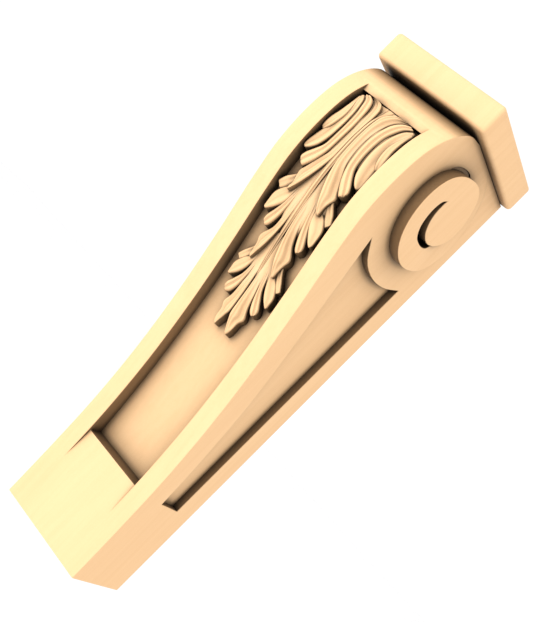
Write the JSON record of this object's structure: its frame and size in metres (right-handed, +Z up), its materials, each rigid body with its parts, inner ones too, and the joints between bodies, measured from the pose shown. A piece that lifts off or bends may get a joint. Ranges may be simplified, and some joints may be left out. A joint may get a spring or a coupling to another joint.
{
  "type": "corbel bracket",
  "caption": "Carved wooden corbel bracket with S-shaped cheeks, side scrolls, sunk panels, an acanthus leaf in the hollow front and a cap board over it.",
  "frame": {"origin": "centre of the flat back, at half the height, where the bracket meets the wall", "axes": "+Z up, towards the cap; +Y into the wall; -Y is the carved front; X runs across the bracket"},
  "size_m": [0.0992, 0.1333, 0.4],
  "materials": {
    "body_wood": "bare fine-grained wood, smoothly sanded",
    "cap_wood": "bare fine-grained wood, smoothly sanded",
    "leaf_wood": "bare fine-grained wood, carved"
  },
  "bodies": {
    "root": {"body": "body_wood", "cap": "cap_wood", "leaf": "leaf_wood"}
  },
  "joints": []
}
